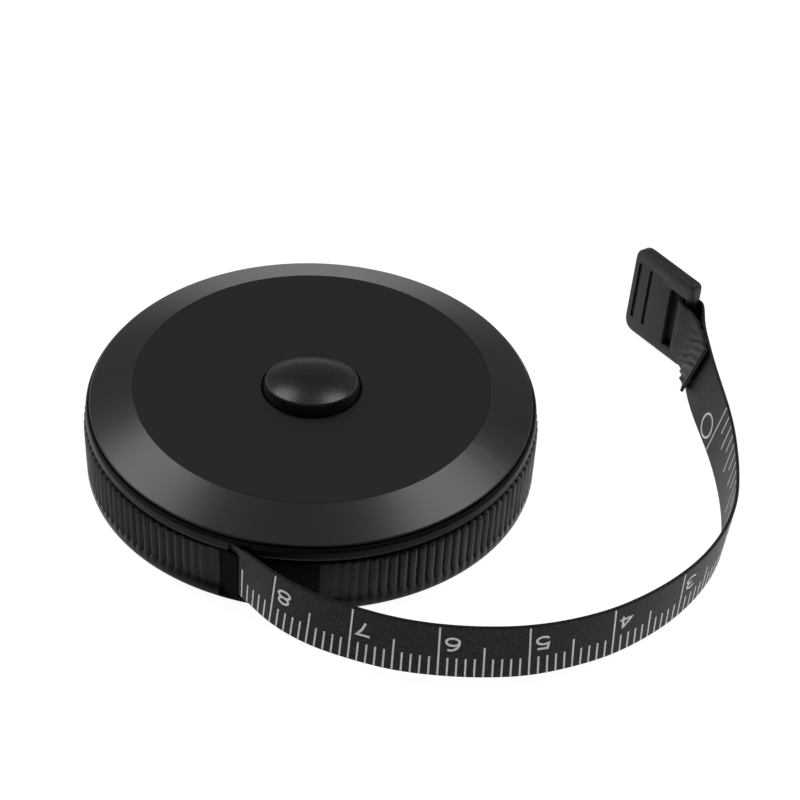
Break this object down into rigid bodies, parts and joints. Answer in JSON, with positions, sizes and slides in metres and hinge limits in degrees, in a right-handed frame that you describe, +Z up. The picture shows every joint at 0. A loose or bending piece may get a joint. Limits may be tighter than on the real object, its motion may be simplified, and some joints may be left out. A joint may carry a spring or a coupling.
{
  "type": "retractable tape measure",
  "caption": "Round push-button tape measure: ribbed case, sprung spool with a button brake, and a soft printed tape with a pull tab.",
  "frame": {"origin": "middle of the case's base, on the surface that it lies on", "axes": "+Z up along the spool's axis, -Y the side that the tape comes out of, +X the side that it bends round to"},
  "size_m": [0.0748, 0.0644, 0.0136],
  "materials": {
    "case_plastic": "satin moulded black",
    "cover_plastic": "satin moulded black",
    "disc_plastic": "fine matt black",
    "button_plastic": "satin moulded black",
    "brake_plastic": "plain moulded",
    "friction_rubber": "matt",
    "spring_wire": "drawn wire",
    "spool_plastic": "plain moulded",
    "tape_fabric": "coated weave, dark grey",
    "spring_strip": "rolled strip",
    "shim_plastic": "plain film",
    "tab_plastic": "satin moulded black"
  },
  "bodies": {
    "case": {"lower_case": "case_plastic", "top_cover": "cover_plastic", "top_disc": "disc_plastic", "lower_spring_shim": "shim_plastic", "mainspring": "spring_strip", "button_spring": "spring_wire"},
    "button": {"push_button": "button_plastic", "brake_disc": "brake_plastic", "friction_ring": "friction_rubber"},
    "spool_body": {"spool": "spool_plastic", "tape_coil": "tape_fabric", "upper_spring_shim": "shim_plastic"},
    "tape_body": {"tape": "tape_fabric"},
    "tab_body": {"end_tab": "tab_plastic"}
  },
  "joints": [
    {"name": "button_press", "type": "slide", "parent": "case", "child": "button", "axis": [0, 0, -1], "range_m": [0, 0.0012], "stiffness_N_per_m": 1500, "springref_m": -0.001, "deforming": ["button_spring"]},
    {"name": "spool_spin", "type": "hinge", "parent": "case", "child": "spool_body", "pos_m": [0, 0, 0], "axis": [0, 0, 1], "range_deg": [0, 26], "deforming": ["mainspring"]},
    {"name": "tape_pull", "type": "slide", "parent": "case", "child": "tape_body", "axis": [0.6716, -0.7409, 0], "range_m": [0, 0.01]},
    {"name": "tab_swing", "type": "hinge", "parent": "tape_body", "child": "tab_body", "pos_m": [0.044, 0.0197, 0.0053], "axis": [0.104, 0.0845, 0.991], "range_deg": [-20, 60]}
  ],
  "couplings": [
    {"joint": "tape_pull", "follows": "spool_spin", "m_per_rad": 0.022}
  ]
}
